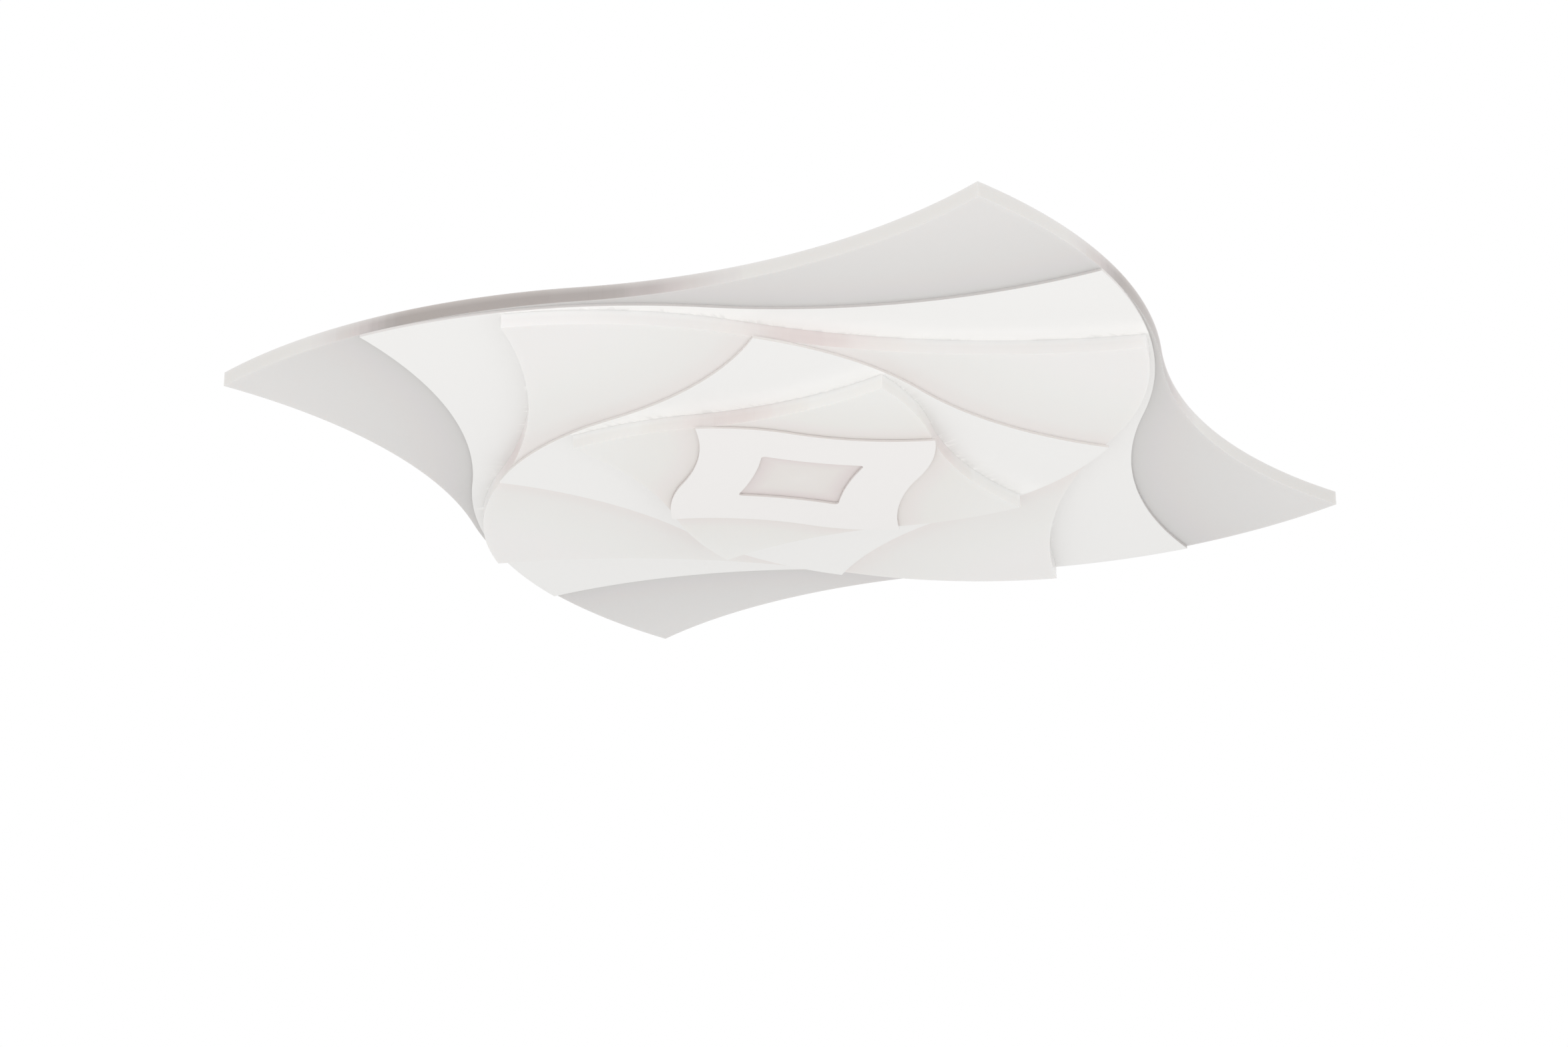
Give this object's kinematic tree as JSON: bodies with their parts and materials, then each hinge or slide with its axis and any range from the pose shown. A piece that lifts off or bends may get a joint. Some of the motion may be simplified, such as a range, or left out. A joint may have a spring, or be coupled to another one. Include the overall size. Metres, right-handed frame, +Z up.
{
  "type": "led ceiling light",
  "caption": "Flat ceiling light of thick opal slabs and thin sheets, wave-edged squares turned layer by layer, on a round pan.",
  "frame": {"origin": "centre of the ceiling screws' circle, in the plane of the ceiling", "axes": "+Z up into the ceiling, along the lamp's turning axis; +X to the right and +Y away as the lamp is seen in the picture"},
  "size_m": [0.8686, 0.8686, 0.0856],
  "materials": {
    "zinc_steel": "bright zinc plated",
    "white_steel": "white powder coat",
    "opal_slab": "opal cast acrylic, satin",
    "opal_sheet": "opal acrylic sheet, glossy",
    "dish_aluminium": "mill finish",
    "white_circuit": "white solder mask",
    "led_phosphor": "yellow phosphor in silicone",
    "driver_plastic": "moulded, fine grain",
    "driver_circuit": "green solder mask",
    "terminal_plastic": "moulded, fine grain",
    "lever_plastic": "moulded",
    "tinned_copper": "tinned",
    "grommet_rubber": "black rubber",
    "brown_wire": "flexible insulation",
    "blue_wire": "flexible insulation",
    "green_wire": "flexible insulation, with a yellow stripe",
    "white_wire": "flexible insulation"
  },
  "bodies": {
    "ceiling_mount": {"ceiling_ring": "zinc_steel", "hanging_studs": "zinc_steel"},
    "lamp": {"ceiling_pan": "white_steel", "centre_board": "white_circuit", "centre_leds": "led_phosphor", "clamp_base": "terminal_plastic", "clamp_screws": "zinc_steel", "clamp_strap": "terminal_plastic", "core_nuts": "zinc_steel", "core_screws": "zinc_steel", "driver_board": "driver_circuit", "driver_case": "driver_plastic", "driver_cover": "driver_plastic", "driver_screws": "zinc_steel", "earth_lead": "green_wire", "earth_lug": "tinned_copper", "earth_nut": "zinc_steel", "earth_stud": "zinc_steel", "hanger_ring": "zinc_steel", "large_led_dish": "dish_aluminium", "large_led_lead": "white_wire", "large_led_strip": "white_circuit", "large_leds": "led_phosphor", "large_sheet": "opal_sheet", "large_tier": "opal_slab", "large_tier_nuts": "zinc_steel", "large_tier_screws": "zinc_steel", "lead_grommet": "grommet_rubber", "lever_pin": "zinc_steel", "live_lead": "brown_wire", "lower_core_spacers": "dish_aluminium", "middle_core_spacers": "dish_aluminium", "middle_led_dish": "dish_aluminium", "middle_led_lead": "white_wire", "middle_led_strip": "white_circuit", "middle_leds": "led_phosphor", "middle_sheet": "opal_sheet", "middle_tier": "opal_slab", "middle_tier_nuts": "zinc_steel", "middle_tier_screws": "zinc_steel", "neutral_lead": "blue_wire", "outer_spacers": "dish_aluminium", "small_led_dish": "dish_aluminium", "small_led_lead": "white_wire", "small_led_strip": "white_circuit", "small_leds": "led_phosphor", "small_tier": "opal_slab", "terminal_block": "terminal_plastic", "terminal_screws": "zinc_steel", "upper_core_spacers": "dish_aluminium", "window_sheet": "opal_sheet"},
    "live_clamp": {"live_lever": "lever_plastic"},
    "neutral_clamp": {"neutral_lever": "lever_plastic"},
    "earth_clamp": {"earth_lever": "lever_plastic"}
  },
  "joints": [
    {"name": "lamp_turn", "type": "hinge", "parent": "ceiling_mount", "child": "lamp", "pos_m": [0, 0, 0], "axis": [0, 0, 1], "range_deg": [0, 15]},
    {"name": "live_lever_turn", "type": "hinge", "parent": "lamp", "child": "live_clamp", "pos_m": [-0.072, -0.087, -0.0323], "axis": [-1, 0, 0], "range_deg": [0, 90]},
    {"name": "neutral_lever_turn", "type": "hinge", "parent": "lamp", "child": "neutral_clamp", "pos_m": [-0.062, -0.087, -0.0323], "axis": [-1, 0, 0], "range_deg": [0, 90]},
    {"name": "earth_lever_turn", "type": "hinge", "parent": "lamp", "child": "earth_clamp", "pos_m": [-0.052, -0.087, -0.0323], "axis": [-1, 0, 0], "range_deg": [0, 90]}
  ]
}
